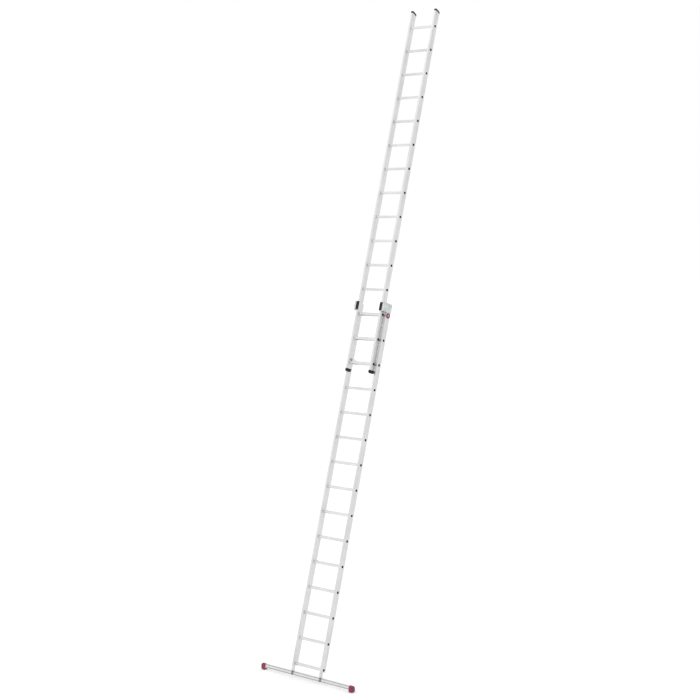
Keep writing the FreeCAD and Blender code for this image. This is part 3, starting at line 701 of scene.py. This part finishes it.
# Rounds of a rounded rectangle in x and height, one per step of n, each lifted to the end line. The
# first and last ones shrink by a quarter circle. Height is cut to the groove's floor wherever n lies
# within half a groove's width of a groove's middle. A square plug under it goes into the rail.
def topCapSkins():
    look = topCapLook
    low, high = span(rightHalf("top_cap_right"))
    railLow, railHigh = span(rightHalf("upper_rail_right"))
    half = ((high - low) / 2)[:2]
    middle = ((railHigh + railLow) / 2)[:2]
    top = railHigh[2] - endLine(0, -(railHigh - railLow)[1] / 2)
    tall = high[2] - endLine(top, -half[1])
    roundIn, roundAlong = quarterRound(look["edgeRound"], 8)
    straight = half[1] - look["edgeRound"]
    grooveMiddles = (np.arange(look["grooves"]) - (look["grooves"] - 1) / 2) * look["groovePitch"]
    wall = look["grooveWidth"] / 2 + np.array([0, look["grooveWall"]])
    edges = (grooveMiddles[:, None] + np.concatenate([-wall, wall])).ravel()
    rows = np.unique(np.concatenate([np.linspace(-straight, straight, look["rows"]), edges]))
    n = np.concatenate([-straight - roundAlong[:0:-1], rows, straight + roundAlong[1:]])
    inset = np.concatenate([roundIn[:0:-1], np.zeros(len(rows)), roundIn[1:]])
    fromGroove = np.abs(n[:, None] - grooveMiddles).min(axis=1)
    floor = np.where(fromGroove < wall.mean(), tall - look["grooveDepth"], tall)
    rings = []
    for at, shrink, lid in zip(n, inset, floor):
        upper = max(look["edgeRound"] - shrink, look["underRound"])
        radii = [upper, upper, look["underRound"], look["underRound"]]
        halfTall = (tall - shrink) / 2
        x, height = roundedRing(half[0] - shrink, halfTall, radii).T
        height = np.minimum(height + halfTall, lid)
        ring = [x + middle[0], np.full(len(x), at + middle[1]), endLine(top, at) + height]
        rings.append(np.stack(ring, axis=-1))
    plugHalf = ((railHigh - railLow) / 2)[:2] - look["railWall"]
    plug = roundedRing(*plugHalf, [look["plugCorner"]] * 4)
    upperEnd = endLine(top, plug[:, 1:]) + tall * look["plugRise"]
    lowerEnd = np.full((len(plug), 1), top - look["plugLow"])
    inCap = np.concatenate([plug + middle, upperEnd], axis=-1)
    inRail = np.concatenate([plug + middle, lowerEnd], axis=-1)
    return [skin(np.array(rings)), skin(np.stack([inRail, inCap]))]


makePair("topCap", topCapSkins(), [blackPlastic], "upper_section", "black_plastic", "top_cap")
print("top caps made")


# Covers on the bar brackets
coverLook = {
    "corner": 0.005, "leastCorner": 0.001, "frontRound": 0.0028, "recess": 0.0009, "rim": 0.0028,
    "rimSteps": (0.1, 0.5, 0.6), "points": 128,
    "hole": 0.0074, "holeGrow": (1.22, 1.18, 1.04, 1, 1), "holeChamfer": 0.0006,
}


# Rounds from the back edge over the rounded front to a shallow recess, in to the bolt's hole and
# back to the start: the outline changes from a rounded rectangle to a circle.
def coverSkin():
    look = coverLook
    low, high = span(rightHalf("bar_bracket_cover_right"))
    barLow, barHigh = span(rightHalf("stabiliser_bar"))
    half, middle = (high - low) / 2, (high + low) / 2
    front, back = low[1], high[1]
    boltR = (barHigh + barLow)[2] / 2 - middle[2]
    roundIn, roundAlong = quarterRound(look["frontRound"], 7)
    rim = look["frontRound"] + np.array(look["rimSteps"]) * look["rim"]
    inset = np.concatenate([[0], roundIn, rim])
    outerN = np.concatenate([[back], front + look["frontRound"] - roundAlong,
                             [front, front, front + look["recess"]]])
    rings = []
    for shrink, n in zip(inset, outerN):
        corner = max(look["corner"] - shrink, look["leastCorner"])
        ring = evenRing(roundedRing(half[0] - shrink, half[2] - shrink, [corner] * 4), look["points"])
        rings.append(np.stack([ring[:, 0], np.full(look["points"], n), ring[:, 1]], axis=-1))
    angle = np.arctan2(rings[0][:, 2] - boltR, rings[0][:, 0])
    holeN = (front + look["recess"], front, front, front + look["holeChamfer"], back)
    for n, grow in zip(holeN, look["holeGrow"]):
        radius = look["hole"] * grow
        ring = [radius * np.cos(angle), np.full(look["points"], n), radius * np.sin(angle) + boltR]
        rings.append(np.stack(ring, axis=-1))
    rings = np.array(rings)
    rings[..., [0, 2]] += middle[[0, 2]]
    return skin(rings, wraps=True)


makePair("bracketCover", [coverSkin()], [greyPlastic], "lower_section", "grey_plastic", "bar_bracket_cover")
print("bracket covers made")


# Round badges over the ends of the lower section's top rung
badgeLook = {
    "rim": 0.0022, "edge": 0.0012, "face": 0.0009, "rimSlope": 0.7, "pocket": 0.028, "pocketDepth": 0.0012,
    "arrow": ((0, 1), (0.7, 0.15), (0.22, 0.15), (0.22, -0.95), (-0.22, -0.95), (-0.22, 0.15), (-0.7, 0.15)),
    "arrowSize": 0.0120, "arrowMiddle": 0.2, "arrowEdge": 0.0002, "arrowGrow": (1, 1, 0.97),
    "markHeight": 0.0006, "markSunk": 0.0003,                  # of the arrow and the ring round it
    "ringWidth": 0.0011, "ringAt": 0.0245, "ringEdge": 0.0002, "ringShare": 0.7, "around": 96,
}


# The disc is a turned profile: pocket, side, rounded rim and a sunk face. The mark on it is a plain
# arrow up the ladder, a flat outline of seven corners carried outwards, inside a thin raised ring.
def badgeSkins():
    look = badgeLook
    low, high = span(rightHalf("badge_right"))
    thick, radius = high[0] - low[0], (high - low)[2] / 2
    middle = np.array([low[0], (high + low)[1] / 2, (high + low)[2] / 2])
    face = thick - look["face"]
    roundIn, roundAlong = quarterRound(look["edge"], 6)
    profile = [(look["pocketDepth"], look["pocket"] * 0.5), (look["pocketDepth"], look["pocket"])]
    profile += [(0, look["pocket"]), (0, radius)]
    profile += list(zip(thick - look["edge"] + roundAlong, radius - roundIn))
    profile += [(thick, radius - look["rim"]), (face, radius - look["rim"] - look["face"] * look["rimSlope"])]
    profile += [(face, radius * 0.5), (face, radius * 0.15)]
    disc = turnedSkin(profile, middle, "x", around=look["around"])
    foot, crest = face - look["markSunk"], face + look["markHeight"] * look["ringShare"]
    inner, outer, edge = look["ringAt"], look["ringAt"] + look["ringWidth"], look["ringEdge"]
    profile = [(foot, inner), (crest, inner + edge), (crest, outer - edge), (foot, outer)]
    ring = turnedSkin(profile, middle, "x", around=look["around"], wraps=True)
    n, r = np.array(look["arrow"]).T * look["arrowSize"]
    heights = face + np.array([-look["markSunk"], look["markHeight"] - look["arrowEdge"], look["markHeight"]])
    grow = np.array(look["arrowGrow"])[:, None]
    rings = np.stack([np.repeat(heights[:, None], len(n), axis=1), n * grow, r * grow], axis=-1)
    poles = np.array([[at, 0, look["arrowMiddle"] * look["arrowSize"]] for at in heights[[0, -1]]])
    return [disc, ring, skin(rings + middle, poles=poles + middle)]


makePair("roundBadge", badgeSkins(), [badgeRed, badgePale], "lower_section", "badge_face", "badge",
         finishOf=[0, 0, 1])
print("badges made")


# Rivets, bolts and nuts
rivetLook = {
    "shank": 0.0024, "head": 0.0055, "tall": 0.0022, "mandrel": 0.0013, "mandrelDepth": 0.0010,
    "mandrelEdge": 0.0003,
}
boltLook = {
    "acrossFlats": 0.0112, "headRadius": 0.0065, "headTall": 0.005, "chamfer": 0.0007, "chamferShare": 0.80,
    "washer": 0.0005, "washerShare": 0.86, "shank": 0.004,
    "threadPitch": 0.00125, "threadDepth": 0.0004, "threadLength": 0.013, "threadEnd": 0.0006,
    "buttonTall": 0.0035, "buttonBand": 0.003, "socket": 0.0022, "socketEdge": 0.0006, "socketShare": 0.75,
    "nutBore": 0.00405, "nutShare": 0.85, "nutEdge": 0.0004, "nutFarEdge": 0.0005,
}


# The top of a domed head, as (distance, radius) pairs from its edge inwards: the height is
# tall * sqrt(1 - (radius / full radius) squared).
def dome(face, tall, full, inner):
    radius = np.linspace(full, inner, 10)
    return list(zip(face + tall * np.sqrt(np.clip(1 - (radius / full) ** 2, 0, 1)), radius))[1:]


# A shank, a domed head and the sunk pin in its middle.
def rivetSkins():
    look = rivetLook
    low, high = span(rightHalf("guide_rivets"))
    shank, head, pin = look["shank"], look["head"], look["mandrel"]
    face = high[0] - look["tall"]
    profile = [(low[0], shank * 0.6), (low[0], shank), (face, shank), (face, head)]
    profile += dome(face, look["tall"], head, pin + look["mandrelEdge"])
    sunk = profile[-1][0] - look["mandrelDepth"]
    raised = sunk + look["mandrelEdge"]
    profile += [(sunk, pin), (raised, pin * 0.8), (raised, pin * 0.2)]
    places = [(n, r) for n in (low[1] + head, high[1] - head) for r in (low[2] + head, high[2] - head)]
    return [turnedSkin(profile, (0, n, r), "x", around=36) for n, r in places]


# Thread: the shank's radius less its depth times half of (1 + cosine) along the axis.
def threadProfile(start, end, look):
    along = np.linspace(start, end, int(abs(end - start) / look["threadPitch"] * 8))
    wave = (1 + np.cos(2 * np.pi * along / look["threadPitch"])) / 2
    return list(zip(along, look["shank"] - look["threadDepth"] * wave))


# A hexagon bolt through the bar, from the front, and a domed bolt with a round socket into the
# tongue, from the side: each a profile turned about its axis.
def boltSkins():
    look = boltLook
    points = rightHalf("bar_bolts")
    barLow, barHigh = span(rightHalf("stabiliser_bar"))
    high = points[:, 0].max()
    buttonLow, buttonHigh = span(points[points[:, 0] > high - look["buttonBand"]])
    hexLow, hexHigh = span(points[points[:, 2] < barHigh[2]])
    middle = [(hexLow[0] + hexHigh[0]) / 2, 0, (barLow[2] + barHigh[2]) / 2]
    front, seat, end = hexLow[1], hexLow[1] + look["headTall"], hexHigh[1]
    head, shank = look["headRadius"], look["shank"]
    under, washer = seat - look["washer"], head * look["washerShare"]
    profile = [(front, head * 0.3), (front, head * look["chamferShare"]), (front + look["chamfer"], head)]
    profile += [(under, head), (under, washer), (seat, washer), (seat, shank)]
    profile += threadProfile(end - look["threadLength"], end - look["threadEnd"], look)
    profile += [(end, shank * 0.75), (end, shank * 0.2)]
    hexBolt = turnedSkin(profile, middle, "n", look["acrossFlats"], around=72)
    _, n, r = (buttonLow + buttonHigh) / 2
    tall, socket = look["buttonTall"], look["socket"]
    tip = points[points[:, 2] > barHigh[2]][:, 0].min()
    profile = [(tip, shank * 0.5), (tip, shank), (high - tall, shank), (high - tall, head)]
    profile += dome(high - tall, tall, head, socket + look["socketEdge"])
    socketFloor = high - tall * look["socketShare"]
    profile += [(profile[-1][0], socket), (socketFloor, socket), (socketFloor, socket * 0.2)]
    return [hexBolt, turnedSkin(profile, (0, n, r), "x", around=48)]


# Nut: a chamfered hexagon with a bore, closed round through the bore.
def nutSkin():
    look = boltLook
    low, high = span(rightHalf("bar_nuts"))
    head, chamfer, bore = look["headRadius"], look["chamfer"], look["nutBore"]
    edge, farEdge, face = look["nutEdge"], look["nutFarEdge"], head * look["nutShare"]
    profile = [(low[1], bore + edge), (low[1], face), (low[1] + chamfer, head), (high[1] - chamfer, head)]
    profile += [(high[1], face), (high[1], bore + farEdge), (high[1] - farEdge, bore), (low[1] + edge, bore)]
    middle = ((low + high) / 2) * np.array([1, 0, 1])
    return turnedSkin(profile, middle, "n", look["acrossFlats"], around=72, wraps=True)


makePiece("guideRivets", bothSides(rivetSkins()), [rivetAluminium], "lower_section", "rivet_aluminium",
          ["guide_rivets"])
makePiece("barBolts", bothSides(boltSkins()), [zincSteel], "lower_section", "zinc_steel", ["bar_bolts"])
makePiece("barNuts", bothSides([nutSkin()]), [zincSteel], "lower_section", "zinc_steel", ["bar_nuts"])
print("rivets, bolts and nuts made")


# Torsion springs beside the rung hooks
springLook = {
    "radius": 0.0072, "wire": 0.0009, "turns": 3.25, "pitch": 0.00195, "pitchShare": 0.8,
    "leg": 0.015, "arm": 0.013, "steps": 36, "around": 12, "endSteps": 12, "endGap": 0.02,
}


# The wire's path: a straight arm, then a helix (n, r) = radius * (cos, sin) that steps along x, then
# a straight leg up the rail. Each ring of the tube lies across the path, in the plane of x and the
# path's own normal.
def springSkin():
    look = springLook
    _, high = span(rightHalf("hook_springs"))
    _, n, r = toLadder(joints["right_hook_swing"]["pos_m"])
    start = -np.pi / 2
    angle = np.linspace(start, start + 2 * np.pi * look["turns"], int(look["steps"] * look["turns"]))
    perTurn = look["pitch"] * look["pitchShare"]
    x = high[0] - look["wire"] - perTurn * (angle - start) / (2 * np.pi)
    coil = np.stack([x, n + look["radius"] * np.cos(angle), r + look["radius"] * np.sin(angle)], axis=-1)
    reach = np.linspace(1, look["endGap"], look["endSteps"])[:, None]
    arm = coil[0] + reach * np.array([0, -look["arm"], 0])
    leg = coil[-1] + reach[::-1] * np.array([0, 0, look["leg"]])
    path = np.concatenate([arm, coil, leg])
    ahead = np.gradient(path, axis=0)
    ahead /= np.linalg.norm(ahead, axis=1)[:, None]
    across = np.array([1, 0, 0]) - ahead * ahead[:, :1]
    across /= np.linalg.norm(across, axis=1)[:, None]
    upward = np.cross(ahead, across)
    turn = np.linspace(0, 2 * np.pi, look["around"], endpoint=False)[:, None]
    ring = across[:, None] * np.cos(turn) + upward[:, None] * np.sin(turn)
    return skin(path[:, None] + look["wire"] * ring)


makePiece("hookSprings", bothSides([springSkin()]), [zincSteel], "upper_section", "zinc_steel",
          ["hook_springs"], crease=60)
print("springs made")


# A CAD node that keeps its shape takes its finish here.
def dress(finish, *names):
    for name in names:
        mesh = frame["nodes"][name].data
        mesh.materials.clear()
        mesh.materials.append(finish.material)


def pair(name):
    return [f"{name}_left", f"{name}_right"]


dress(lowerRailAluminium, *pair("lower_rail"))
dress(upperRailAluminium, *pair("upper_rail"))
dress(barAluminium, "stabiliser_bar")
dress(bracketCasting, *pair("bar_bracket"))
dress(guidePlate, *pair("guide_bracket"))
dress(blackPlastic, *pair("guide_pad"))
dress(greyPlastic, "lower_rail_plugs")
dress(hookSteel, *pair("rung_hook"))
dress(zincSteel, "hook_pins")
for i in range(1, rungCount + 1):
    dress(lowerRungAluminium, f"lower_rung_{i:02d}")
    dress(upperRungAluminium, f"upper_rung_{i:02d}")
print("CAD nodes dressed")


stageLook = {
    "floorReach": 90.0, "floorColour": grey(0.93), "floorGlow": 0.14, "floorRough": 0.9,
    "cloudScale": 0.7, "cloudShare": 0.99,
    "skyColour": grey(1.0), "skyStrength": 1.0,
    "keyStrength": 0.20, "keyAngle": 35.0, "keyTilt": (55.0, 0.0, -27.0),
}
cameraLook = {
    "place": (11.006, -12.0665, 5.040),              # metres from the middle of the floor line
    "azimuth": 40.73, "pitch": -5.045,               # degrees
    "lens": 79.2, "sensor": 36.0, "reach": 500.0,    # lens and sensor in millimetres, reach in metres
}


# A large square floor, softly clouded, that glows a little so that it stays nearly white.
def makeStage():
    look = stageLook
    reach = look["floorReach"]
    mesh = bpy.data.meshes.new("studioFloor")
    corners = [(-reach, -reach, 0), (reach, -reach, 0), (reach, reach, 0), (-reach, reach, 0)]
    mesh.from_pydata(corners, [], [(0, 1, 2, 3)])
    floor = bpy.data.objects.new("studioFloor", mesh)
    bpy.context.scene.collection.objects.link(floor)
    paint = Finish("studioFloorPaint", {"Roughness": look["floorRough"], "Specular IOR Level": 0.0,
                                        "Emission Color": grey(1.0), "Emission Strength": look["floorGlow"]})
    cloud = paint.noise(paint.place(), look["cloudScale"], detail=2.0)
    pale = look["floorColour"]
    dark = tuple(tone * look["cloudShare"] for tone in pale)
    paint.wear("Base Color", paint.colourMix(cloud, pale, dark))
    mesh.materials.append(paint.material)


# An even white sky and one broad, weak sun for a soft direction.
def makeLight():
    look = stageLook
    world = bpy.data.worlds.new("studioSky")
    world.use_nodes = True
    sky = world.node_tree.nodes["Background"]
    sky.inputs["Color"].default_value = (*look["skyColour"], 1.0)
    sky.inputs["Strength"].default_value = look["skyStrength"]
    bpy.context.scene.world = world
    sun = bpy.data.lights.new("keyLight", "SUN")
    sun.energy = look["keyStrength"]
    sun.angle = math.radians(look["keyAngle"])
    key = bpy.data.objects.new("keyLight", sun)
    key.rotation_euler = [math.radians(a) for a in look["keyTilt"]]
    bpy.context.scene.collection.objects.link(key)


def makeCamera():
    look = cameraLook
    lens = bpy.data.cameras.new("studioCamera")
    lens.lens = look["lens"]
    lens.sensor_width = look["sensor"]
    lens.clip_end = look["reach"]
    camera = bpy.data.objects.new("studioCamera", lens)
    camera.location = look["place"]
    camera.rotation_euler = (math.radians(90 + look["pitch"]), 0, math.radians(look["azimuth"]))
    bpy.context.scene.collection.objects.link(camera)
    bpy.context.scene.camera = camera


makeStage()
makeLight()
makeCamera()
bpy.context.scene.view_settings.view_transform = "Standard"
print("stage, light and camera set")
